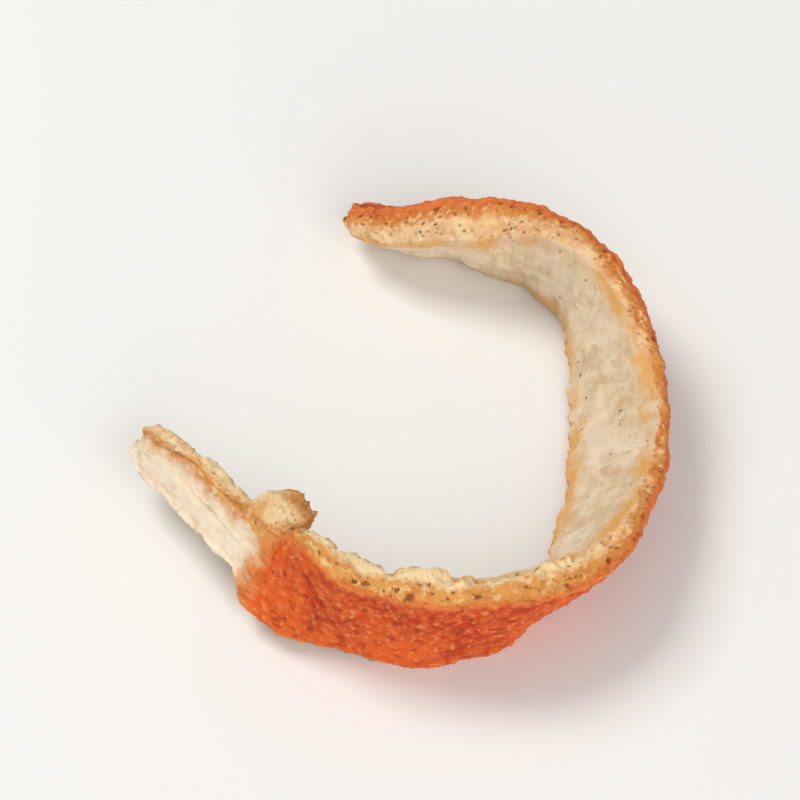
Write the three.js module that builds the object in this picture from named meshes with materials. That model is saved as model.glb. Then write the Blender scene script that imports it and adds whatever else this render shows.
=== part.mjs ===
import * as THREE from "three";

// A cut strip of dried citrus peel that curled up as it dried: one piece, rind outside and pith inside.
// Millimetres, +Z up. The curl lies on its lower cut side, and the origin is under its middle, on the ground.

// The bends of the curl. x and y place the middle of the strip. lean turns it about its own length, in
// degrees: 0 stands upright with the rind outwards, plus tips the upper side outwards, minus inwards.
// lift is how far the lower side clears the ground. width and thickness are the peel's own size there.
const BENDS = [
  { x: -3.2, y: 17.0, lift: 0.5, lean: -46, width: 4.4, thickness: 1.9 }, // far tip
  { x: 0.25, y: 15.5, lift: 0, lean: -42, width: 6.4, thickness: 3.0 },
  { x: 4.5, y: 14.2, lift: 0, lean: -30, width: 7.6, thickness: 3.4 },
  { x: 9.2, y: 12.5, lift: 0, lean: -12, width: 7.8, thickness: 3.1 }, // far shoulder
  { x: 13.0, y: 8.0, lift: 0, lean: 12, width: 8.0, thickness: 2.3 },
  { x: 14.3, y: 1.4, lift: 0, lean: 45, width: 8.0, thickness: 1.8 }, // right side, its pith looks up
  { x: 14.2, y: -6.0, lift: 0, lean: 53, width: 8.0, thickness: 1.7 },
  { x: 12.0, y: -13.2, lift: 0, lean: 38, width: 8.0, thickness: 2.2 },
  { x: 7.5, y: -17.4, lift: 0, lean: 18, width: 7.6, thickness: 2.7 },
  { x: 2.5, y: -18.4, lift: 0, lean: 6, width: 7.3, thickness: 2.9 }, // front, upright
  { x: -1.8, y: -17.6, lift: 0, lean: 0, width: 7.3, thickness: 2.9 },
  { x: -5.0, y: -16.3, lift: 0.2, lean: -14, width: 7.4, thickness: 2.8 },
  { x: -7.6, y: -14.6, lift: 0.9, lean: -32, width: 6.6, thickness: 2.6 }, // flap where the rind ends
  { x: -9.5, y: -12.3, lift: 2.4, lean: -34, width: 4.4, thickness: 2.4 },
  { x: -12.8, y: -8.3, lift: 2.6, lean: -32, width: 3.8, thickness: 2.3 }, // arm of bare pith
  { x: -16.8, y: -3.8, lift: 2.2, lean: -30, width: 3.3, thickness: 2.0 }, // arm tip
];

// Both torn tips are rounded off over this length, down to this share of the section.
const TIP_ROUNDING = 1.8;
const TIP_BLUNTNESS = 0.4;

// Shape of the cross-section: 0 has sharp corners and 1 is an ellipse.
const CORNER_ROUNDNESS = 0.36;

// How far the soft lower side was pressed flat where it lies on the ground.
const PRESSED_FLAT = 0.1;

// The knife left both cut sides slightly wavy.
const WAVE_HEIGHT = 0.14;
const WAVE_LENGTH = 5.3;

// How finely the strip is divided along its length, through the peel and across its width.
const DIVISIONS = { along: 100, through: 4, across: 9 };

const UP = new THREE.Vector3(0, 0, 1);
const { degToRad } = THREE.MathUtils;

/** Half the height of an oval section of that width and thickness, leaning over by an angle in radians. */
function halfHeight(width, thickness, angle) {
  return Math.hypot((Math.cos(angle) * width) / 2, (Math.sin(angle) * thickness) / 2);
}

/** Share of the section left close to a tip, where the torn end is rounded off. */
function tipShare(distance, length) {
  const toTip = Math.min(distance, length - distance, TIP_ROUNDING) / TIP_ROUNDING;
  const round = Math.sqrt(1 - (1 - toTip) ** 2);
  return THREE.MathUtils.lerp(TIP_BLUNTNESS, 1, round);
}

/** The strip's middle line, and its lean, width and thickness, as two curves that share one parameter. */
function curlCurves() {
  const sections = BENDS.map((bend) => new THREE.Vector3(degToRad(bend.lean), bend.width, bend.thickness));
  const middles = BENDS.map((bend, i) => {
    const [lean, width, thickness] = sections[i].toArray();
    return new THREE.Vector3(bend.x, bend.y, bend.lift + halfHeight(width, thickness, lean) - PRESSED_FLAT);
  });
  return { path: smoothCurve(middles), sections: smoothCurve(sections) };
}

function smoothCurve(points) {
  return new THREE.CatmullRomCurve3(points, false, "catmullrom", 0.5);
}

/** The curl as one closed body: a straight bar whose points are carried onto the curled strip. */
function peelGeometry() {
  const { path, sections } = curlCurves();
  path.arcLengthDivisions = 1000;
  const length = path.getLength();
  const { along, through, across } = DIVISIONS;
  const geometry = new THREE.BoxGeometry(length, 2, 2, along, through, across);
  const position = geometry.attributes.position;
  const point = new THREE.Vector3();
  for (let i = 0; i < position.count; i += 1) {
    const share = THREE.MathUtils.clamp(position.getX(i) / length + 0.5, 0, 1);
    const distance = share * length;
    const t = path.getUtoTmapping(share);
    const [lean, width, thickness] = sections.getPoint(t).toArray();

    // Directions of the strip here: along it, out towards the rind, and up to its upper side.
    const ahead = path.getTangent(t);
    const outward = UP.clone().cross(ahead).normalize();
    const upward = ahead.clone().cross(outward);
    const toUpperSide = upward.clone().multiplyScalar(Math.cos(lean)).addScaledVector(outward, Math.sin(lean));
    const toRind = outward.multiplyScalar(Math.cos(lean)).addScaledVector(upward, -Math.sin(lean));

    // Place in the rounded section, from -1 to 1 through the peel and across its width.
    const inPeel = position.getY(i);
    const inWidth = position.getZ(i);
    const roundedPeel = inPeel * Math.sqrt(1 - (CORNER_ROUNDNESS * inWidth ** 2) / 2);
    const roundedWidth = inWidth * Math.sqrt(1 - (CORNER_ROUNDNESS * inPeel ** 2) / 2);

    const tip = tipShare(distance, length);
    const wave = WAVE_HEIGHT * Math.sin((2 * Math.PI * distance) / WAVE_LENGTH + inWidth);
    point.copy(path.getPoint(t));
    point.addScaledVector(toRind, (roundedPeel * thickness * tip) / 2);
    point.addScaledVector(toUpperSide, roundedWidth * ((width * tip) / 2 + wave * Math.abs(inWidth)));
    position.setXYZ(i, point.x, point.y, Math.max(point.z, 0));
  }
  return restAtOrigin(geometry);
}

/** Moves a body so that the middle of its outline's underside is the origin. */
function restAtOrigin(geometry) {
  geometry.computeBoundingBox();
  const { min, max } = geometry.boundingBox;
  geometry.translate(-(min.x + max.x) / 2, -(min.y + max.y) / 2, -min.z);
  geometry.computeVertexNormals();
  return geometry;
}

const peelMaterial = new THREE.MeshStandardMaterial({
  name: "dried_peel",
  color: new THREE.Color(0.76, 0.36, 0.14),
  roughness: 0.75,
  metalness: 0,
});

const curl = new THREE.Mesh(peelGeometry(), peelMaterial);
curl.name = "peel_curl";

const peel = new THREE.Group();
peel.add(curl);

export default peel;
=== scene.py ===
# %% [markdown]
# # A curled strip of dried orange peel
#
# The real object is one strip, cut with a knife from an orange's peel and dried until it curled. Its
# outside is the orange rind, covered with raised oil glands. Its inside is the pale, leathery pith. The two
# cut sides show the peel in section: a thin orange line, a row of small holes where the knife opened the
# glands, and golden, porous pith. Towards one end the rind was torn off, so the strip goes on as a narrow
# arm of bare pith, and a small torn tag sticks out of its inner edge.
#
# The strip is modelled flat, at its real size, because every pattern on it follows the flat strip. Then it
# is curled along the route that the frame's solid has. All sizes are in millimetres and are turned into
# metres by MM.

import math

import bpy
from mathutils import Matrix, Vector


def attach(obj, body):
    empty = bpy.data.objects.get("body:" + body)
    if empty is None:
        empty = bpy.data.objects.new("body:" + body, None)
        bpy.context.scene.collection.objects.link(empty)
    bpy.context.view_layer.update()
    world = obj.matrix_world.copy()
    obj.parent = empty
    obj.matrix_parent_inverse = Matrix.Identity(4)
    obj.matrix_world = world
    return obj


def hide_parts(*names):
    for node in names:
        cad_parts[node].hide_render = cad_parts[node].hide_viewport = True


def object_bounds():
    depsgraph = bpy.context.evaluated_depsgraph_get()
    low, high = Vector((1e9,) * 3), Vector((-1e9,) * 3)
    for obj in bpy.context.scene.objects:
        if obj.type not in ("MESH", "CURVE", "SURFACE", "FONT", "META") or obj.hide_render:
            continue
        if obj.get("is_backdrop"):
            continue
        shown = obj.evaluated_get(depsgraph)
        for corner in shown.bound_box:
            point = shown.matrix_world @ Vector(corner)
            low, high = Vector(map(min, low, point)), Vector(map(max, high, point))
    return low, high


MM = 0.001
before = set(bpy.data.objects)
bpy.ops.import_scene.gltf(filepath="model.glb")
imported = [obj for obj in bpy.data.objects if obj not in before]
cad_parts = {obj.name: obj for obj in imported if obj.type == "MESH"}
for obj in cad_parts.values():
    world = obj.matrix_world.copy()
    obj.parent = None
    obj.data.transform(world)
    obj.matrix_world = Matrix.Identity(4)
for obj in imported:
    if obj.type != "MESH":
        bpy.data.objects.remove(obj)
cad_low, cad_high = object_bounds()
print("CAD box, mm:", [round(v / MM, 2) for v in cad_high - cad_low])

# %% [markdown]
# ## Small helpers
#
# A new primitive must be the only thing selected before an operator touches it, so `only` comes first.
# Geometry and shader node trees are built the same way, so the same helpers serve both: `put` adds a node
# with its settings and its inputs, `calc` is a Math node, `ramp` eases between two values, and `noise` and
# `swing` are soft noise.

# %% Helpers
def only(piece):
    bpy.ops.object.select_all(action="DESELECT")
    piece.select_set(True)
    bpy.context.view_layer.objects.active = piece


def put(tree, kind, inputs=None, **settings):
    node = tree.nodes.new(kind)
    for name, value in settings.items():
        setattr(node, name, value)
    for key, value in (inputs or {}).items():
        if isinstance(value, bpy.types.NodeSocket):
            tree.links.new(value, node.inputs[key])
        else:
            node.inputs[key].default_value = value
    return node


def calc(tree, operation, first, second=0.0, third=0.0):
    return put(tree, "ShaderNodeMath", {0: first, 1: second, 2: third}, operation=operation).outputs[0]


def ramp(tree, value, start, end, low=0.0, high=1.0):
    """Eases from low to high while the value goes from start to end."""
    inputs = {"Value": value, "From Min": start, "From Max": end, "To Min": low, "To Max": high}
    return put(tree, "ShaderNodeMapRange", inputs, interpolation_type="SMOOTHSTEP").outputs["Result"]


def noise(tree, vector, scale, detail=2.0, roughness=0.5, stretch=None):
    """Soft noise around 0.5. Scale counts waves in a millimetre, and stretch lengthens them on each axis."""
    if stretch is not None:
        vector = put(tree, "ShaderNodeVectorMath", {0: vector, 1: stretch}, operation="DIVIDE").outputs[0]
    inputs = {"Vector": vector, "Scale": scale, "Detail": detail, "Roughness": roughness}
    return put(tree, "ShaderNodeTexNoise", inputs).outputs[0]


def swing(tree, vector, scale, reach, detail=2.0, roughness=0.5, stretch=None):
    """Soft noise around 0 that swings over that reach in all."""
    soft = noise(tree, vector, scale, detail, roughness, stretch)
    return calc(tree, "MULTIPLY_ADD", soft, reach, -reach / 2)


def cells(tree, vector, scale, feature="F1", dimensions="3D"):
    inputs = {"Vector": vector, "Scale": scale}
    return put(tree, "ShaderNodeTexVoronoi", inputs, feature=feature, voronoi_dimensions=dimensions)


# %% [markdown]
# ## The route of the curl
#
# These are the bends of the frame's solid: where the middle of the strip goes, how far its lower side
# clears the ground, how far the strip leans over, and how wide and thick the peel is there. A smooth curve
# through them gives the route.

# %% Route and sizes
STRIP_WIDTH = 8.0
PEEL_THICKNESS = 3.4
PRESSED_FLAT = 0.1

# x, y, lift, lean, width and thickness of each bend: millimetres and degrees.
BENDS = [
    (-3.2, 17.0, 0.5, -46, 4.4, 1.9),
    (0.25, 15.5, 0, -42, 6.4, 3.0),
    (4.5, 14.2, 0, -30, 7.6, 3.4),
    (9.2, 12.5, 0, -12, 7.8, 3.1),
    (13.0, 8.0, 0, 12, 8.0, 2.3),
    (14.3, 1.4, 0, 45, 8.0, 1.8),
    (14.2, -6.0, 0, 53, 8.0, 1.7),
    (12.0, -13.2, 0, 38, 8.0, 2.2),
    (7.5, -17.4, 0, 18, 7.6, 2.7),
    (2.5, -18.4, 0, 6, 7.3, 2.9),
    (-1.8, -17.6, 0, 0, 7.3, 2.9),
    (-5.0, -16.3, 0.2, -14, 7.4, 2.8),
    (-7.6, -14.6, 0.9, -32, 6.6, 2.6),
    (-9.5, -12.3, 2.4, -34, 4.4, 2.4),
    (-12.8, -8.3, 2.6, -32, 3.8, 2.3),
    (-16.8, -3.8, 2.2, -30, 3.3, 2.0),
]
STEPS = 24


def through(values, t):
    """A smooth curve through the values, at t counted in values."""
    last = len(values) - 1
    i = min(int(t), last - 1)
    f = t - i
    b, c = values[i], values[i + 1]
    a = values[i - 1] if i > 0 else 2 * b - c
    d = values[i + 2] if i + 2 <= last else 2 * c - b
    return b + 0.5 * f * ((c - a) + f * ((2 * a - 5 * b + 4 * c - d) + f * (3 * (b - c) + d - a)))


def sampled(values):
    return [through(values, k / STEPS) for k in range(STEPS * (len(values) - 1) + 1)]


def middle_of(x, y, lift, lean, width, thickness):
    """The middle of the section at a bend, high enough for its lower side to clear the ground."""
    half = math.hypot(math.cos(math.radians(lean)) * width / 2, math.sin(math.radians(lean)) * thickness / 2)
    return Vector((x, y, lift + half - PRESSED_FLAT))


route_points = sampled([middle_of(*bend) for bend in BENDS])
route_leans = sampled([math.radians(lean) for _, _, _, lean, _, _ in BENDS])
distances = [0.0]
for here, ahead in zip(route_points, route_points[1:]):
    distances.append(distances[-1] + (ahead - here).length)
STRIP_LENGTH = distances[-1]
bend_distances = distances[::STEPS]
print("bends along the strip, mm:", [round(d, 1) for d in bend_distances])

# %% [markdown]
# ## The flat strip
#
# The strip stands on its cut side, as it lies in the curl: its length runs along X, the peel's thickness
# along Y with the rind at +Y, and its width along Z. A cube would need its long edges cut up slowly, so a
# fine grid makes the pith side, one extrusion through the peel makes the rest, and only the four walls are
# then subdivided. Its faces are about square and small enough for the oil glands.

# %% Flat strip
FACES_ALONG = 640
FACES_ACROSS = 52
FACES_THROUGH = 17


def flat_strip():
    bpy.ops.object.select_all(action="DESELECT")
    bpy.ops.mesh.primitive_grid_add(
        x_subdivisions=FACES_ALONG,
        y_subdivisions=FACES_ACROSS,
        size=1,
        location=(STRIP_LENGTH / 2 * MM, -PEEL_THICKNESS / 2 * MM, 0),
        rotation=(math.pi / 2, 0, 0),
    )
    strip = bpy.context.object
    strip.name = "dried_peel_curl"
    strip.scale = (STRIP_LENGTH * MM, STRIP_WIDTH * MM, 1)
    bpy.ops.object.transform_apply(location=True, rotation=True, scale=True)
    bpy.ops.object.mode_set(mode="EDIT")
    bpy.ops.mesh.select_all(action="SELECT")
    bpy.ops.mesh.extrude_region_move(TRANSFORM_OT_translate={"value": (0, PEEL_THICKNESS * MM, 0)})
    bpy.ops.mesh.select_mode(type="EDGE")
    bpy.ops.mesh.select_all(action="DESELECT")
    bpy.ops.object.mode_set(mode="OBJECT")
    for edge in strip.data.edges:
        a, b = (strip.data.vertices[v].co for v in edge.vertices)
        edge.select = abs(b.y - a.y) > PEEL_THICKNESS / 2 * MM
    bpy.ops.object.mode_set(mode="EDIT")
    bpy.ops.mesh.subdivide(number_cuts=FACES_THROUGH - 1)
    bpy.ops.mesh.select_all(action="SELECT")
    bpy.ops.mesh.normals_make_consistent(inside=False)
    bpy.ops.object.mode_set(mode="OBJECT")
    return strip


strip = flat_strip()
print("flat strip faces:", len(strip.data.polygons))

# %% [markdown]
# ## Relief of the dried surface
#
# Drying shrinks the peel between its oil glands, so the rind is left with goose bumps. The pith wrinkles
# like leather, and the cut sides open into pores and crumble. Sculpting thousands of bumps by hand would be
# slow, so a Geometry Nodes tree does it on the flat strip. It also writes down what the material needs
# later: each point's flat place, how deep it lies under the rind, in millimetres and as a share of the
# peel, and how far it is from a cut side.

# %% Strip sizes and where things are on it
CORNER_ROUNDNESS = 0.36
TIP_ROUNDING = 1.8
TIP_BLUNTNESS = 0.4
RIND_END = bend_distances[-4] + 0.8
FRONT_PLACE = bend_distances[-7] + 1.0
print("the rind ends at, mm:", round(RIND_END, 1))


# %% Patterns that the relief and the colours share
GLANDS_PER_MM = 1.45
PORES_PER_MM = 1.9
HOLES_PER_MM = 1.05
TORN_LINE_SWING = 4.0

# Moves the row of holes along on one cut side, so that the two sides differ.
OTHER_SIDE = 17.3


def shifted(tree, vector, wander_scale, amount):
    """Moves a place about at random, so that a pattern of cells loses its order."""
    inputs = {"Vector": vector, "Scale": wander_scale, "Detail": 2.0}
    wander = put(tree, "ShaderNodeTexNoise", inputs).outputs["Color"]
    inputs = {0: wander, 1: (amount, amount, amount), 2: vector}
    return put(tree, "ShaderNodeVectorMath", inputs, operation="MULTIPLY_ADD").outputs[0]


def gland_bumps(tree, flat):
    """1 on top of each oil gland and 0 between them, on the rind's own plane. Some glands are faint."""
    along, _, width = put(tree, "ShaderNodeSeparateXYZ", {0: flat}).outputs
    plane = put(tree, "ShaderNodeCombineXYZ", {0: along, 1: width}).outputs[0]
    distance = cells(tree, shifted(tree, plane, 0.9, 0.5), GLANDS_PER_MM, dimensions="2D").outputs["Distance"]
    some = ramp(tree, noise(tree, flat, 0.8, 2.0), 0.36, 0.62, 0.25, 1.0)
    return calc(tree, "MULTIPLY", ramp(tree, distance, 0.55, 0.05), some)


def pores(tree, flat):
    """1 at the bottom of each pore of the cut side."""
    distance = cells(tree, shifted(tree, flat, 1.3, 0.35), PORES_PER_MM).outputs["Distance"]
    some = ramp(tree, noise(tree, flat, 0.9, 2.0), 0.44, 0.62)
    return calc(tree, "MULTIPLY", ramp(tree, distance, 0.36, 0.1), some)


def bare_share(tree, flat, along):
    """0 under the rind and 1 on the bare arm, and the ragged distance along the strip that decides it."""
    ragged = calc(tree, "ADD", along, swing(tree, flat, 0.6, TORN_LINE_SWING, 5.0, 0.7))
    return ramp(tree, ragged, RIND_END - 0.2, RIND_END + 0.3), ragged


def gland_holes(tree, flat, depth):
    """1 inside each gland that the knife opened: a loose row under the rind, of all sizes, some missing."""
    along, _, width = put(tree, "ShaderNodeSeparateXYZ", {0: flat}).outputs
    row = calc(tree, "ADD", along, calc(tree, "MULTIPLY", calc(tree, "SIGN", width), OTHER_SIDE))
    found = put(tree, "ShaderNodeTexVoronoi", {"W": row, "Scale": HOLES_PER_MM}, voronoi_dimensions="1D")
    chance, deeper, _ = put(tree, "ShaderNodeSeparateXYZ", {0: found.outputs["Color"]}).outputs
    beside = calc(tree, "DIVIDE", found.outputs["Distance"], HOLES_PER_MM)
    below = calc(tree, "SUBTRACT", depth, calc(tree, "MULTIPLY_ADD", deeper, 0.75, 0.35))
    beside_square = calc(tree, "MULTIPLY", beside, beside)
    below_square = calc(tree, "MULTIPLY", below, below)
    reach = calc(tree, "SQRT", calc(tree, "MULTIPLY_ADD", below_square, 1.5, beside_square))
    ragged = calc(tree, "ADD", reach, swing(tree, flat, 3.0, 0.16))
    size = calc(tree, "MULTIPLY_ADD", calc(tree, "MULTIPLY", chance, chance), 0.34, -0.02)
    return ramp(tree, calc(tree, "SUBTRACT", ragged, size), 0.06, -0.06)


# %% [markdown]
# ### The smooth strip
#
# First the block gets the strip's true width and thickness all along, its rounded corners and its two
# rounded tips. A Float Curve through the bends' sizes gives the width and the thickness at each place.

# %% Smooth strip
WIDTH_COLUMN = 4
THICKNESS_COLUMN = 5


def profile(tree, along, column, full):
    """A size along the strip in millimetres: the bends' values, joined smoothly."""
    node = put(tree, "ShaderNodeFloatCurve", {"Value": calc(tree, "DIVIDE", along, STRIP_LENGTH)})
    line = node.mapping.curves[0]
    for i, (distance, bend) in enumerate(zip(bend_distances, BENDS)):
        place = (distance / STRIP_LENGTH, bend[column] / full)
        if 0 < i < len(BENDS) - 1:
            line.points.new(*place)
        else:
            line.points[0 if i == 0 else -1].location = place
    node.mapping.update()
    return calc(tree, "MULTIPLY", node.outputs[0], full)


def quarter_round(tree, share):
    """Falls from 1 to 0 like a quarter of a circle, while the share goes from 0 to 1."""
    return calc(tree, "SQRT", calc(tree, "SUBTRACT", 1.0, calc(tree, "MULTIPLY", share, share)))


def tip_share(tree, end):
    """Share of the section that is left near a tip."""
    into_tip = calc(tree, "DIVIDE", calc(tree, "MINIMUM", end, TIP_ROUNDING), TIP_ROUNDING)
    round_end = quarter_round(tree, calc(tree, "SUBTRACT", 1.0, into_tip))
    return calc(tree, "MULTIPLY_ADD", round_end, 1 - TIP_BLUNTNESS, TIP_BLUNTNESS)


def rounded(tree, across, other):
    """Pulls the corners of the section in, from a point's two places between -1 and 1."""
    square = calc(tree, "MULTIPLY", other, other)
    inner = calc(tree, "SUBTRACT", 1.0, calc(tree, "MULTIPLY", square, CORNER_ROUNDNESS / 2))
    return calc(tree, "MULTIPLY", across, calc(tree, "SQRT", inner))


def noted(tree, geometry, name, kind, value):
    """Writes a value down on every point, as an attribute."""
    inputs = {0: geometry, "Name": name, "Value": value}
    return put(tree, "GeometryNodeStoreNamedAttribute", inputs, data_type=kind, domain="POINT").outputs[0]


def smooth_strip(tree, geometry):
    place = put(tree, "GeometryNodeInputPosition").outputs[0]
    in_mm = put(tree, "ShaderNodeVectorMath", {0: place, "Scale": 1 / MM}, operation="SCALE").outputs[0]
    along, in_peel, in_width = put(tree, "ShaderNodeSeparateXYZ", {0: in_mm}).outputs
    through_peel = calc(tree, "DIVIDE", in_peel, PEEL_THICKNESS / 2)
    across = calc(tree, "DIVIDE", in_width, STRIP_WIDTH / 2)
    end = calc(tree, "MINIMUM", along, calc(tree, "SUBTRACT", STRIP_LENGTH, along))
    half_share = calc(tree, "MULTIPLY", tip_share(tree, end), 0.5)
    half_width = calc(tree, "MULTIPLY", profile(tree, along, WIDTH_COLUMN, STRIP_WIDTH), half_share)
    half_thick = calc(tree, "MULTIPLY", profile(tree, along, THICKNESS_COLUMN, PEEL_THICKNESS), half_share)
    smooth_y = calc(tree, "MULTIPLY", rounded(tree, through_peel, across), half_thick)
    smooth_z = calc(tree, "MULTIPLY", rounded(tree, across, through_peel), half_width)
    flat = put(tree, "ShaderNodeCombineXYZ", {0: along, 1: smooth_y, 2: smooth_z}).outputs[0]
    edge = calc(tree, "MULTIPLY", calc(tree, "SUBTRACT", 1.0, calc(tree, "ABSOLUTE", across)), half_width)
    notes = {
        "flat_mm": ("FLOAT_VECTOR", flat),
        "depth_mm": ("FLOAT", calc(tree, "MULTIPLY", calc(tree, "SUBTRACT", 1.0, through_peel), half_thick)),
        "depth_share": ("FLOAT", calc(tree, "MULTIPLY_ADD", through_peel, -0.5, 0.5)),
        "edge_mm": ("FLOAT", calc(tree, "MINIMUM", edge, end)),
    }
    for name, (kind, value) in notes.items():
        geometry = noted(tree, geometry, name, kind, value)
    metres = put(tree, "ShaderNodeVectorMath", {0: flat, "Scale": MM}, operation="SCALE").outputs[0]
    return put(tree, "GeometryNodeSetPosition", {"Geometry": geometry, "Position": metres}).outputs[0]


# %% [markdown]
# ### Bumps, wrinkles and crumbs
#
# Each surface has its own heights, faded out where it ends: bumps on the rind, wrinkles on the pith, and
# crumbs, pores and opened glands on the cut sides. Where the rind was torn off, its thickness and most of
# its glands are gone.

# %% Heights of the surfaces, in millimetres
GLAND_HEIGHT = 0.13
BARE_GLAND_HEIGHT = 0.03
RIND_THICKNESS = 0.25
SHRINKING = 0.44
WRINKLES = 0.5
CRUMBS = 0.7
PORE_DEPTH = 0.32
HOLE_DEPTH = 0.24


def surface_height(tree, flat, edge, depth, share, bare):
    """Height in millimetres of the rind, the pith and the cut sides."""
    on_rind = calc(tree, "MULTIPLY", ramp(tree, share, 0.12, 0.0), ramp(tree, edge, 0.0, 0.3, 0.3, 1.0))
    on_pith = calc(tree, "MULTIPLY", ramp(tree, share, 0.88, 1.0), ramp(tree, edge, 0.0, 0.4, 0.3, 1.0))
    on_side = ramp(tree, edge, 0.3, 0.0)
    gland_high = calc(tree, "MULTIPLY_ADD", bare, BARE_GLAND_HEIGHT - GLAND_HEIGHT, GLAND_HEIGHT)
    shrunk = swing(tree, flat, 1.1, SHRINKING, 5.0, 0.7)
    ground = calc(tree, "MULTIPLY_ADD", bare, -RIND_THICKNESS, shrunk)
    rind_high = calc(tree, "MULTIPLY_ADD", gland_bumps(tree, flat), gland_high, ground)
    pith_high = swing(tree, flat, 0.45, WRINKLES, 4.0, 0.5, stretch=(1.0, 1.0, 1.5))
    pore = calc(tree, "MULTIPLY", pores(tree, flat), PORE_DEPTH)
    hole = calc(tree, "MULTIPLY", gland_holes(tree, flat, depth), HOLE_DEPTH)
    crumbly = swing(tree, flat, 1.5, CRUMBS, 4.0, 0.7)
    side_high = calc(tree, "SUBTRACT", crumbly, calc(tree, "MAXIMUM", pore, hole))
    height = calc(tree, "MULTIPLY", rind_high, on_rind)
    height = calc(tree, "MULTIPLY_ADD", pith_high, on_pith, height)
    return calc(tree, "MULTIPLY_ADD", side_high, on_side, height)


# %% [markdown]
# ### Cut, bites and torn tips
#
# The knife left a wavy cut with nicks, so both sides move in and out. The pith's soft corner is nibbled
# away in small bites, most of all at the front. The dried sheet buckles and swells along its length, and
# both tips are torn ragged.

# %% Larger moves, in millimetres
CUT_WAVE = 0.9
NICKS = 0.9
NICKS_INWARDS = 0.48
BITE_ACROSS = 0.65
BITE_THROUGH = 0.4
BUCKLE = 1.1
SWELLING = 0.5
TORN_TIP = 4.0
TORN_TIP_INWARDS = 2.3
SIDES_APART = 9.0
BITTEN_NEAR = 7.0
BITTEN_FAR = 15.0


def bites(tree, flat, along, edge, share):
    """1 in each bite out of the pith's corner."""
    corner = calc(tree, "MULTIPLY", ramp(tree, share, 0.5, 1.0), ramp(tree, edge, 1.1, 0.0))
    bite = calc(tree, "MULTIPLY", ramp(tree, noise(tree, flat, 0.6, 3.0, 0.55), 0.44, 0.58), corner)
    from_front = calc(tree, "ABSOLUTE", calc(tree, "SUBTRACT", along, FRONT_PLACE))
    return calc(tree, "MULTIPLY", bite, ramp(tree, from_front, BITTEN_FAR, BITTEN_NEAR, 0.35, 1.0))


def cut_shift(tree, flat, edge, share, end):
    """How far the cut, its bites and the torn tips move each point of the strip, in millimetres."""
    along, smooth_y, smooth_z = put(tree, "ShaderNodeSeparateXYZ", {0: flat}).outputs
    side = calc(tree, "SIGN", smooth_z)
    apart = calc(tree, "MULTIPLY", side, SIDES_APART)
    on_line = put(tree, "ShaderNodeCombineXYZ", {0: along, 2: apart}).outputs[0]
    nick = calc(tree, "MULTIPLY_ADD", noise(tree, flat, 0.55, 3.0, 0.6), NICKS, -NICKS_INWARDS)
    out = calc(tree, "ADD", swing(tree, on_line, 0.17, CUT_WAVE, 1.0), nick)
    out = calc(tree, "MULTIPLY", out, ramp(tree, edge, 2.2, 0.0))
    bite = bites(tree, flat, along, edge, share)
    out = calc(tree, "MULTIPLY_ADD", bite, -BITE_ACROSS, out)
    buckle = swing(tree, flat, 0.2, BUCKLE, 1.0, stretch=(1.0, 1.0, 1.6))
    inwards = calc(tree, "MULTIPLY_ADD", bite, BITE_THROUGH, buckle)
    move_y = calc(tree, "MULTIPLY_ADD", smooth_y, swing(tree, on_line, 0.35, SWELLING, 1.0), inwards)
    torn = calc(tree, "MULTIPLY_ADD", noise(tree, flat, 0.45, 2.0, 0.5), TORN_TIP, -TORN_TIP_INWARDS)
    ahead = calc(tree, "SIGN", calc(tree, "SUBTRACT", along, STRIP_LENGTH / 2))
    move_x = calc(tree, "MULTIPLY", calc(tree, "MULTIPLY", torn, ramp(tree, end, 3.0, 0.0)), ahead)
    move_z = calc(tree, "MULTIPLY", out, side)
    return put(tree, "ShaderNodeCombineXYZ", {0: move_x, 1: move_y, 2: move_z}).outputs[0]


# %% [markdown]
# ### Torn tag
#
# Where the rind ends, a small lump of golden pith sticks out of the arm's inner edge. It is pulled out of
# the strip's own surface, so it has no seam: everything near one place moves along with it, in the shape of
# a dome, and noise makes the dome lumpy.

# %% Torn tag
TAG_PLACE = (bend_distances[-3] - 0.7, -0.7, 1.9)
TAG_REACH = (0.0, -2.1, 1.2)
TAG_RADIUS = 1.5
TAG_WIDENING = 0.35


def tag_shift(tree, flat):
    """Pulls a rounded lump out of the inner edge of the arm."""
    from_tag = put(tree, "ShaderNodeVectorMath", {0: flat, 1: TAG_PLACE}, operation="SUBTRACT").outputs[0]
    distance = put(tree, "ShaderNodeVectorMath", {0: from_tag}, operation="LENGTH").outputs["Value"]
    distance = calc(tree, "ADD", distance, swing(tree, flat, 1.0, TAG_RADIUS, 5.0, 0.7))
    share = calc(tree, "MINIMUM", calc(tree, "MAXIMUM", calc(tree, "DIVIDE", distance, TAG_RADIUS), 0.0), 1.0)
    lumpy = calc(tree, "ADD", 1.0, swing(tree, flat, 1.5, 0.7, 5.0, 0.7))
    dome = calc(tree, "MULTIPLY", quarter_round(tree, share), lumpy)
    widening = {0: from_tag, "Scale": TAG_WIDENING}
    wider = put(tree, "ShaderNodeVectorMath", widening, operation="SCALE").outputs[0]
    reach = put(tree, "ShaderNodeVectorMath", {0: wider, 1: TAG_REACH}, operation="ADD").outputs[0]
    return put(tree, "ShaderNodeVectorMath", {0: reach, "Scale": dome}, operation="SCALE").outputs[0]


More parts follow.
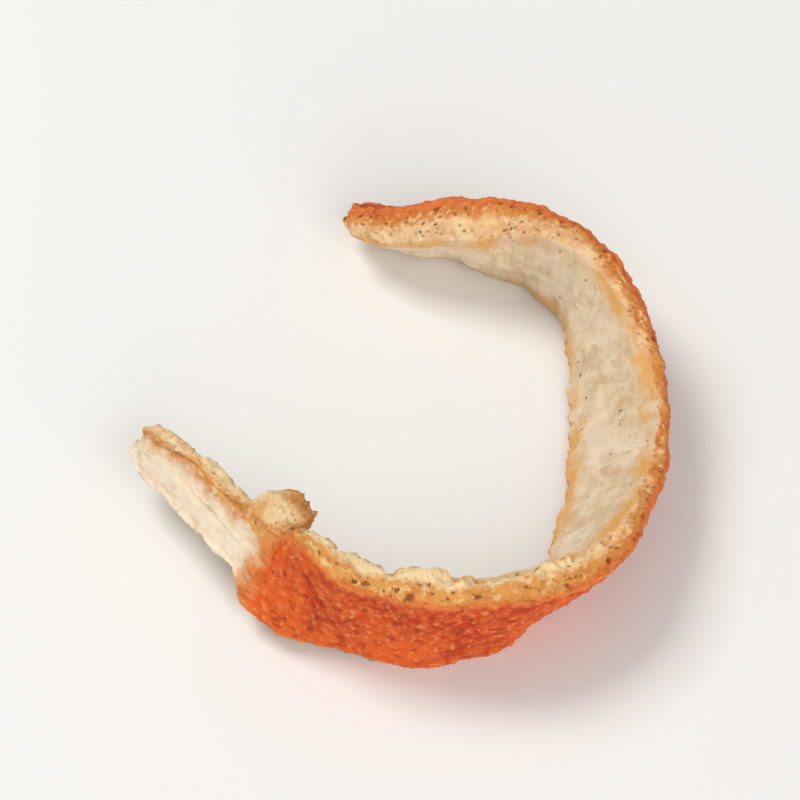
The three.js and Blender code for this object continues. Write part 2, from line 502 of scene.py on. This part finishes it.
# %% The relief as one tree
def relief_tree():
    tree = bpy.data.node_groups.new("dried_peel_relief", "GeometryNodeTree")
    tree.interface.new_socket("Geometry", in_out="INPUT", socket_type="NodeSocketGeometry")
    tree.interface.new_socket("Geometry", in_out="OUTPUT", socket_type="NodeSocketGeometry")
    geometry = smooth_strip(tree, tree.nodes.new("NodeGroupInput").outputs[0])

    def stored(name, kind="FLOAT"):
        return put(tree, "GeometryNodeInputNamedAttribute", {"Name": name}, data_type=kind).outputs[0]

    flat = stored("flat_mm", "FLOAT_VECTOR")
    edge, depth, share = stored("edge_mm"), stored("depth_mm"), stored("depth_share")
    along = put(tree, "ShaderNodeSeparateXYZ", {0: flat}).outputs[0]
    end = calc(tree, "MINIMUM", along, calc(tree, "SUBTRACT", STRIP_LENGTH, along))
    height = surface_height(tree, flat, edge, depth, share, bare_share(tree, flat, along)[0])
    normal = put(tree, "GeometryNodeInputNormal").outputs[0]
    raised = put(tree, "ShaderNodeVectorMath", {0: normal, "Scale": height}, operation="SCALE").outputs[0]
    tag = tag_shift(tree, flat)
    shift = put(tree, "ShaderNodeVectorMath", {0: cut_shift(tree, flat, edge, share, end), 1: tag}).outputs[0]
    total = put(tree, "ShaderNodeVectorMath", {0: raised, 1: shift}).outputs[0]
    offset = put(tree, "ShaderNodeVectorMath", {0: total, "Scale": MM}, operation="SCALE").outputs[0]
    geometry = put(tree, "GeometryNodeSetPosition", {"Geometry": geometry, "Offset": offset}).outputs[0]
    with_tag = put(tree, "ShaderNodeVectorMath", {0: flat, 1: tag}).outputs[0]
    geometry = noted(tree, geometry, "flat_mm", "FLOAT_VECTOR", with_tag)
    finish = tree.nodes.new("NodeGroupOutput")
    tree.links.new(geometry, finish.inputs[0])
    return tree


def apply_nodes(piece, tree):
    only(piece)
    modifier = piece.modifiers.new(tree.name, "NODES")
    modifier.node_group = tree
    bpy.ops.object.modifier_apply(modifier=modifier.name)


apply_nodes(strip, relief_tree())
print("attributes:", [a.name for a in strip.data.attributes if not a.name.startswith(".")])

# %% [markdown]
# ## Curling the strip
#
# A Curve modifier bends the flat strip along the route. The curve's twist is measured from straight up, so
# each point's tilt is simply the lean of the strip there. Afterwards everything that would reach into the
# ground is pressed flat onto it, as the soft peel was before it dried.

# %% Curl
def route_curve():
    curve = bpy.data.curves.new("curl_route", "CURVE")
    curve.dimensions = "3D"
    curve.twist_mode = "Z_UP"
    spline = curve.splines.new("POLY")
    spline.points.add(len(route_points) - 1)
    for point, place, lean in zip(spline.points, route_points, route_leans):
        point.co = (*(place * MM), 1)
        point.tilt = -lean
    piece = bpy.data.objects.new("curl_route", curve)
    bpy.context.collection.objects.link(piece)
    return piece


def corners(piece):
    places = [v.co for v in piece.data.vertices]
    low = Vector(min(p[i] for p in places) for i in range(3))
    high = Vector(max(p[i] for p in places) for i in range(3))
    return low, high


def curl(piece):
    guide = route_curve()
    only(piece)
    modifier = piece.modifiers.new("curl", "CURVE")
    modifier.object = guide
    modifier.deform_axis = "POS_X"
    bpy.ops.object.modifier_apply(modifier=modifier.name)
    bpy.data.objects.remove(guide)


def press_on_ground(piece):
    """Flattens what reaches below the ground, and centres the piece on the frame's solid."""
    for vertex in piece.data.vertices:
        vertex.co.z = max(vertex.co.z, 0)
    low, high = corners(piece)
    off = (cad_low + cad_high - low - high) / 2
    only(piece)
    bpy.ops.object.mode_set(mode="EDIT")
    bpy.ops.mesh.select_all(action="SELECT")
    bpy.ops.transform.translate(value=(off.x, off.y, 0))
    bpy.ops.object.mode_set(mode="OBJECT")


curl(strip)
press_on_ground(strip)
only(strip)
bpy.ops.object.shade_smooth()
low, high = corners(strip)
print("curled strip, mm:", [round(v / MM, 2) for v in high - low], "triangles:", 2 * len(strip.data.polygons))

# %% [markdown]
# ## Finishes
#
# Three finishes meet on the strip, so each is a node group that gives a colour, a roughness and a fine
# height: the rind, the pith and the cut side. They read the flat place written down before curling, so each
# pattern follows the strip round its bends. A colour is written as it looks on a screen and turned into
# Blender's linear values.

# %% Finish helpers
def paint(red, green, blue):
    """A screen colour from 0 to 255 as linear values."""
    shares = [v / 255 for v in (red, green, blue)]
    return (*(s / 12.92 if s < 0.04045 else ((s + 0.055) / 1.055) ** 2.4 for s in shares), 1.0)


def blend(tree, share, first, second):
    """First colour where share is 0, second where it is 1. A Mix node keeps them in its sockets 6 and 7."""
    node = put(tree, "ShaderNodeMix", {0: share}, data_type="RGBA", clamp_factor=True)
    for key, colour in ((6, first), (7, second)):
        if isinstance(colour, bpy.types.NodeSocket):
            tree.links.new(colour, node.inputs[key])
        else:
            node.inputs[key].default_value = colour
    return node.outputs[2]


def lay(tree, color, mask, strength, over):
    """Lays another colour over, where the mask is 1 and only as strongly as that."""
    return blend(tree, calc(tree, "MULTIPLY", mask, strength), color, over)


def look_group(name, inputs):
    tree = bpy.data.node_groups.new(name, "ShaderNodeTree")
    for label, kind in inputs:
        tree.interface.new_socket(label, in_out="INPUT", socket_type=kind)
    for label, kind in (("Color", "Color"), ("Roughness", "Float"), ("Height", "Float")):
        tree.interface.new_socket(label, in_out="OUTPUT", socket_type="NodeSocket" + kind)
    return tree, tree.nodes.new("NodeGroupInput").outputs, tree.nodes.new("NodeGroupOutput")


def hand_out(tree, finish, color, roughness, height):
    for key, value in (("Color", color), ("Roughness", roughness), ("Height", height)):
        tree.links.new(value, finish.inputs[key])
    return tree


PLACE = ("Flat", "NodeSocketVector")
EDGE = ("Edge", "NodeSocketFloat")
DEPTH = ("Depth", "NodeSocketFloat")
BAKED = ("Baked", "NodeSocketFloat")

# %% [markdown]
# ### Rind
#
# The ground between the glands is a deep, dry red-orange that wanders from patch to patch. Each gland is a
# lighter and slightly glossier orange dot. Small peach flecks of painted highlight and burnt, dark red spots
# lie over both, and right at the cut sides the rind is thin and yellower.

# %% Rind
DEEP_RIND = paint(188, 56, 20)
WARM_RIND = paint(232, 96, 32)
MOTTLED_RIND = paint(228, 104, 40)
GLAND_TOP = paint(233, 120, 58)
# Painted highlight: the small peach glints on the rind.
PEACH_GLINT = paint(245, 160, 98)
BURNT_RIND = paint(158, 42, 16)
THIN_RIND = paint(230, 138, 70)


def rind_look():
    tree, given, finish = look_group("rind_look", (PLACE, EDGE))
    flat, edge = given["Flat"], given["Edge"]
    patches = ramp(tree, noise(tree, flat, 0.13, 3.0, 0.6), 0.38, 0.62)
    color = blend(tree, patches, DEEP_RIND, WARM_RIND)
    mottle = ramp(tree, noise(tree, flat, 1.0, 5.0, 0.7), 0.40, 0.64)
    color = lay(tree, color, mottle, 0.7, MOTTLED_RIND)
    glands = gland_bumps(tree, flat)
    color = lay(tree, color, glands, 0.6, GLAND_TOP)
    # Painted highlights: scattered peach glints, lighter flecks laid over the rind in place of caught light.
    light = ramp(tree, noise(tree, flat, 2.2, 2.0, 0.5), 0.54, 0.72)
    color = lay(tree, color, light, 0.6, PEACH_GLINT)
    dark = ramp(tree, noise(tree, flat, 1.3, 4.0, 0.65), 0.48, 0.34)
    color = lay(tree, color, dark, 0.7, BURNT_RIND)
    rim = calc(tree, "MULTIPLY_ADD", noise(tree, flat, 1.1, 4.0, 0.65), -1.5, edge)
    color = lay(tree, color, ramp(tree, rim, -0.35, -0.85), 0.75, THIN_RIND)
    roughness = calc(tree, "MULTIPLY_ADD", glands, -0.1, 0.68)
    grain = calc(tree, "MULTIPLY", noise(tree, flat, 3.4, 5.0, 0.7), 1.6)
    return hand_out(tree, finish, color, roughness, grain)


rind_finish = rind_look()
print("rind look, nodes:", len(rind_finish.nodes))

# %% [markdown]
# ### Pith
#
# The inside is a greyish cream with small pale flecks of painted highlight, and tan where it dried hard, with
# a ragged golden margin along the cut sides. A few thin veins cross it, and brown specks have stuck to it.

# %% Pith
DULL_PITH = paint(208, 181, 146)
CREAM_PITH = paint(224, 203, 174)
# Painted highlight: the pale flecks on the pith.
PALE_PITH_HIGHLIGHT = paint(238, 220, 193)
HARD_PITH = paint(196, 158, 114)
VEIN = paint(168, 128, 84)
GOLDEN_MARGIN = paint(222, 164, 90)
SPECK = paint(126, 92, 54)


def pith_look():
    tree, given, finish = look_group("pith_look", (PLACE, EDGE))
    flat, edge = given["Flat"], given["Edge"]
    broad = ramp(tree, noise(tree, flat, 0.18, 3.0, 0.6), 0.38, 0.62)
    color = blend(tree, broad, DULL_PITH, CREAM_PITH)
    # Painted highlights: pale flecks laid over the cream.
    pale_highlight_flecks = ramp(tree, noise(tree, flat, 0.9, 5.0, 0.7), 0.42, 0.62)
    color = lay(tree, color, pale_highlight_flecks, 0.6, PALE_PITH_HIGHLIGHT)
    hard = ramp(tree, noise(tree, flat, 0.5, 4.0, 0.6), 0.47, 0.33)
    color = lay(tree, color, hard, 0.5, HARD_PITH)
    bent = shifted(tree, flat, 0.6, 2.5)
    veins = ramp(tree, cells(tree, bent, 0.25, feature="DISTANCE_TO_EDGE").outputs["Distance"], 0.03, 0.0)
    few = ramp(tree, noise(tree, flat, 0.3, 1.0), 0.5, 0.62)
    color = lay(tree, color, calc(tree, "MULTIPLY", veins, few), 0.2, VEIN)
    margin = calc(tree, "MULTIPLY_ADD", noise(tree, flat, 0.7, 5.0, 0.65), -2.8, edge)
    here_and_there = ramp(tree, noise(tree, flat, 0.3), 0.38, 0.56, 0.3, 1.0)
    color = lay(tree, color, ramp(tree, margin, 0.6, -1.1, 0.0, 0.9), here_and_there, GOLDEN_MARGIN)
    specks = ramp(tree, noise(tree, flat, 2.0, 3.0, 0.55), 0.665, 0.72)
    color = lay(tree, color, specks, 0.7, SPECK)
    roughness = calc(tree, "MULTIPLY_ADD", pale_highlight_flecks, 0.1, 0.7)
    grain = calc(tree, "MULTIPLY", noise(tree, flat, 3.6, 5.0, 0.7), 0.6)
    return hand_out(tree, finish, color, roughness, grain)


pith_finish = pith_look()
print("pith look, nodes:", len(pith_finish.nodes))

# %% [markdown]
# ### Cut side
#
# The section shows how the peel is built: a thin orange skin, under it a row of holes of all sizes
# where the knife opened glands, then golden pith with toasted patches and pale crumbs that pales towards
# the inside. Pores, opened glands and finer pits are painted dark: their own brown with painted shade in the
# hollows. Away from the front the cut side is baked: browner, in ragged spots, with a wider orange skin.

# %% Cut side
CUT_GOLD = paint(222, 155, 80)
CUT_CREAM = paint(245, 218, 170)
TOAST = paint(200, 127, 64)
BAKED_BROWN = paint(206, 120, 50)
CRUMB = paint(247, 212, 152)
MOIST_SKIN = paint(224, 120, 58)
DRY_SKIN = paint(200, 96, 38)
# Painted shade over a brown of their own: the dark colours of the pits and holes.
FINE_PIT_SHADE = paint(164, 90, 40)
DEEP_PIT_SHADE = paint(144, 74, 32)
FINE_PITS_PER_MM = 3.2


def cut_look():
    tree, given, finish = look_group("cut_side_look", (PLACE, DEPTH, BAKED))
    flat, depth, baked = given["Flat"], given["Depth"], given["Baked"]
    ragged = calc(tree, "ADD", depth, swing(tree, flat, 0.9, 1.6, 4.0, 0.65))
    inwards = ramp(tree, ragged, 1.1, 1.9)
    color = blend(tree, inwards, CUT_GOLD, CUT_CREAM)
    toast = ramp(tree, noise(tree, flat, 0.7, 5.0, 0.7), 0.46, 0.62)
    color = lay(tree, color, toast, calc(tree, "MULTIPLY_ADD", inwards, -0.5, 0.85), TOAST)
    brown = ramp(tree, noise(tree, flat, 0.8, 5.0, 0.7), 0.42, 0.58, 0.25, 1.0)
    brown = calc(tree, "MULTIPLY", brown, calc(tree, "MULTIPLY_ADD", inwards, -0.5, 1.0))
    color = lay(tree, color, brown, baked, BAKED_BROWN)
    pale = ramp(tree, noise(tree, flat, 1.6, 4.0, 0.65), 0.52, 0.64)
    color = lay(tree, color, pale, 0.65, CRUMB)
    skin = calc(tree, "ADD", depth, swing(tree, flat, 1.3, 0.9, 3.0, 0.6))
    skin = ramp(tree, calc(tree, "MULTIPLY_ADD", baked, -0.5, skin), 0.5, 0.1)
    dry = ramp(tree, noise(tree, flat, 1.1, 5.0, 0.7), 0.42, 0.6)
    color = lay(tree, color, skin, 0.85, blend(tree, dry, MOIST_SKIN, DRY_SKIN))
    # Painted shade: the fine pits, and below them the pores and opened glands, are darkened in their hollows.
    small_cells = cells(tree, shifted(tree, flat, 2.0, 0.3), FINE_PITS_PER_MM)
    shaded_fine_pits = ramp(tree, small_cells.outputs["Distance"], 0.3, 0.12)
    shaded_fine_pits = calc(tree, "MULTIPLY", shaded_fine_pits, ramp(tree, noise(tree, flat, 1.2, 2.0), 0.48, 0.6))
    color = lay(tree, color, shaded_fine_pits, 0.65, FINE_PIT_SHADE)
    shaded_pits = calc(tree, "MAXIMUM", pores(tree, flat), gland_holes(tree, flat, depth))
    color = lay(tree, color, shaded_pits, 0.75, DEEP_PIT_SHADE)
    roughness = calc(tree, "MULTIPLY_ADD", shaded_pits, 0.1, 0.74)
    height = calc(tree, "SUBTRACT", noise(tree, flat, 3.2, 5.0, 0.7), calc(tree, "MULTIPLY", shaded_fine_pits, 0.7))
    return hand_out(tree, finish, color, roughness, height)


cut_finish = cut_look()
print("cut side look, nodes:", len(cut_finish.nodes))

# %% [markdown]
# ### The peel's material
#
# One material holds all three, because on the real strip they run into each other. The stored depth says
# where the cut side starts and ends, and close to the cut a little noise makes both borders ragged. The arm
# has lost its rind: its outer face shows pith, worn nearly white, and a golden ring marks the torn line.
# The torn tag is browner than the arm. The strip's attributes come in through Attribute nodes, and the shader
# itself stays here in the material.

# %% Borders between the finishes
def borders(tree, flat, edge, depth, share, bare):
    """Where the rind is off, where pith shows, and where the arm's bare outer face is."""
    width = put(tree, "ShaderNodeSeparateXYZ", {0: flat}).outputs[2]
    rough = calc(tree, "MULTIPLY", swing(tree, flat, 1.5, 0.36, 3.0, 0.6), ramp(tree, edge, 0.5, 0.2))
    off_rind = calc(tree, "MAXIMUM", ramp(tree, calc(tree, "ADD", depth, rough), 0.06, 0.2), bare)
    scraped = calc(tree, "MULTIPLY_ADD", noise(tree, flat, 0.9, 4.0, 0.65), 2.6, width)
    bare_face = calc(tree, "MULTIPLY", bare, ramp(tree, scraped, 2.9, 1.3))
    bare_face = calc(tree, "MULTIPLY", bare_face, ramp(tree, share, 0.3, 0.12))
    inside = ramp(tree, calc(tree, "ADD", share, rough), 0.86, 1.0)
    return off_rind, calc(tree, "MAXIMUM", inside, bare_face), bare_face


# %% The arm and the tag
WORN_PITH = paint(249, 232, 206)
TORN_RING = paint(224, 148, 80)
TAG_GOLD = paint(204, 134, 60)


def arm_colours(tree, color, flat, bare_face, torn_line):
    """Wears the bare arm pale, rings the torn line with gold and turns the tag golden brown."""
    worn = ramp(tree, noise(tree, flat, 0.5, 4.0, 0.6), 0.34, 0.56, 0.15, 0.75)
    color = lay(tree, color, bare_face, worn, WORN_PITH)
    from_torn = calc(tree, "ABSOLUTE", calc(tree, "SUBTRACT", torn_line, RIND_END + 0.2))
    color = blend(tree, ramp(tree, from_torn, 1.2, 0.1, 0.0, 0.75), color, TORN_RING)
    tag_top = [place + reach for place, reach in zip(TAG_PLACE, TAG_REACH)]
    from_top = put(tree, "ShaderNodeVectorMath", {0: flat, 1: tag_top}, operation="DISTANCE").outputs["Value"]
    golden = ramp(tree, noise(tree, flat, 1.2, 4.0, 0.65), 0.4, 0.56, 0.4, 0.95)
    return lay(tree, color, ramp(tree, from_top, 2.2, 1.2), golden, TAG_GOLD)


# %% Peel material
BAKED_FROM = 7.0
BAKED_TO = 13.0

# On the arm the rind and the skin under it are gone, so its cut side looks as if it lay deeper.
ARM_DEEPER = 1.15
ARM_FROM_EDGE = 1.3
ARM_LESS_BAKED = 0.75


def peel_material():
    material = bpy.data.materials.new("dried_citrus_peel")
    material.use_nodes = True
    tree = material.node_tree
    shader = tree.nodes["Principled BSDF"]

    def read(name, output="Fac"):
        return put(tree, "ShaderNodeAttribute", attribute_name=name).outputs[output]

    flat = read("flat_mm", "Vector")
    edge, depth, share = read("edge_mm"), read("depth_mm"), read("depth_share")
    along = put(tree, "ShaderNodeSeparateXYZ", {0: flat}).outputs[0]
    bare, torn_line = bare_share(tree, flat, along)
    from_front = calc(tree, "ABSOLUTE", calc(tree, "SUBTRACT", along, FRONT_PLACE))
    less_on_arm = calc(tree, "MULTIPLY_ADD", bare, -ARM_LESS_BAKED, 1.0)
    known = {
        "Flat": flat,
        "Edge": calc(tree, "MULTIPLY_ADD", bare, ARM_FROM_EDGE, edge),
        "Depth": calc(tree, "MULTIPLY_ADD", bare, ARM_DEEPER, depth),
        "Baked": calc(tree, "MULTIPLY", ramp(tree, from_front, BAKED_FROM, BAKED_TO), less_on_arm),
    }

    def finish_of(group):
        node = put(tree, "ShaderNodeGroup", node_tree=group)
        for socket in node.inputs:
            tree.links.new(known[socket.name], socket)
        return node.outputs

    rind, cut, pith = finish_of(rind_finish), finish_of(cut_finish), finish_of(pith_finish)
    off_rind, on_pith, bare_face = borders(tree, flat, edge, depth, share, bare)

    def mixed(name):
        outer = put(tree, "ShaderNodeMix", {0: off_rind, 2: rind[name], 3: cut[name]}).outputs[0]
        return put(tree, "ShaderNodeMix", {0: on_pith, 2: outer, 3: pith[name]}).outputs[0]

    outer_color = blend(tree, off_rind, rind["Color"], cut["Color"])
    color = blend(tree, on_pith, outer_color, pith["Color"])
    bump = put(tree, "ShaderNodeBump", {"Height": mixed("Height"), "Strength": 0.65, "Distance": 0.18 * MM})
    tree.links.new(arm_colours(tree, color, flat, bare_face, torn_line), shader.inputs["Base Color"])
    tree.links.new(mixed("Roughness"), shader.inputs["Roughness"])
    tree.links.new(bump.outputs[0], shader.inputs["Normal"])
    shader.inputs["Specular IOR Level"].default_value = 0.25
    shader.inputs["Subsurface Weight"].default_value = 0.12
    shader.inputs["Subsurface Radius"].default_value = (1.0, 0.45, 0.2)
    shader.inputs["Subsurface Scale"].default_value = 0.6 * MM
    return material


strip.data.materials.clear()
strip.data.materials.append(peel_material())
print("peel material, nodes:", len(strip.data.materials[0].node_tree.nodes))

# %% [markdown]
# ## Floor, light and camera
#
# A pale, flat floor stands in for a studio table. A large soft light comes from the upper left, a wider one
# fills from the front right, and the pale surroundings lift the shadows. The camera looks down at about 50
# degrees from the front, with a long lens, and the small curl fills most of the picture.

# %% Floor and light
FLOOR_SIZE = 1.2


def floor():
    bpy.ops.object.select_all(action="DESELECT")
    bpy.ops.mesh.primitive_grid_add(x_subdivisions=8, y_subdivisions=8, size=FLOOR_SIZE, location=(0, 0, 0))
    ground = bpy.context.object
    ground.name = "pale_table"
    material = bpy.data.materials.new("pale_table")
    material.use_nodes = True
    tree = material.node_tree
    place = put(tree, "ShaderNodeTexCoord").outputs["Object"]
    cloud = put(tree, "ShaderNodeTexNoise", {"Vector": place, "Scale": 6.0}).outputs[0]
    color = blend(tree, cloud, paint(232, 231, 228), paint(238, 237, 235))
    tree.links.new(color, tree.nodes["Principled BSDF"].inputs["Base Color"])
    tree.nodes["Principled BSDF"].inputs["Roughness"].default_value = 0.6
    ground.data.materials.append(material)
    return ground


def soft_light(name, place, size, watts, tint=(1, 1, 1)):
    light = bpy.data.lights.new(name, "AREA")
    light.size = size
    light.energy = watts
    light.color = tint
    lamp = bpy.data.objects.new(name, light)
    lamp.location = place
    lamp.rotation_euler = Vector(place).to_track_quat("Z", "Y").to_euler()
    bpy.context.collection.objects.link(lamp)
    return lamp


def surroundings(strength):
    world = bpy.data.worlds.new("pale_room")
    world.use_nodes = True
    background = world.node_tree.nodes["Background"]
    background.inputs["Color"].default_value = (1.0, 0.99, 0.975, 1)
    background.inputs["Strength"].default_value = strength
    bpy.context.scene.world = world


table = floor()
soft_light("key_upper_left", (-0.22, 0.16, 0.34), 0.2, 1.1, (1.0, 0.985, 0.96))
soft_light("fill_front_right", (0.16, -0.38, 0.22), 0.4, 1.5)
surroundings(0.40)

# %% Camera
CAMERA_ELEVATION = math.radians(50)
PICTURE_WIDTH = 0.052
LENS = 260
SENSOR = 36


def studio_camera(target):
    camera = bpy.data.cameras.new("studio_camera")
    camera.lens = LENS
    camera.sensor_width = SENSOR
    camera.clip_start = 0.01
    eye = bpy.data.objects.new("studio_camera", camera)
    toward = Vector((0, -math.cos(CAMERA_ELEVATION), math.sin(CAMERA_ELEVATION)))
    eye.location = target + toward * PICTURE_WIDTH * LENS / SENSOR
    eye.rotation_euler = toward.to_track_quat("Z", "Y").to_euler()
    bpy.context.collection.objects.link(eye)
    bpy.context.scene.camera = eye
    return eye


middle = (cad_low + cad_high) / 2
studio_camera(middle)
bpy.context.scene.view_settings.view_transform = "Standard"
print("camera at, mm:", [round(v / MM) for v in bpy.context.scene.camera.location])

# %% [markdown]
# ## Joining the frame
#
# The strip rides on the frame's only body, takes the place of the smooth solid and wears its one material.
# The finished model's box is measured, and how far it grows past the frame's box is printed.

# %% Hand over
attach(strip, "root")
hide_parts("peel_curl")
table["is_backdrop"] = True

made_low, made_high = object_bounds()
grown = (*(cad_low - made_low), *(made_high - cad_high))
print("grown past the CAD box, mm:", [round(v / MM, 2) for v in grown])
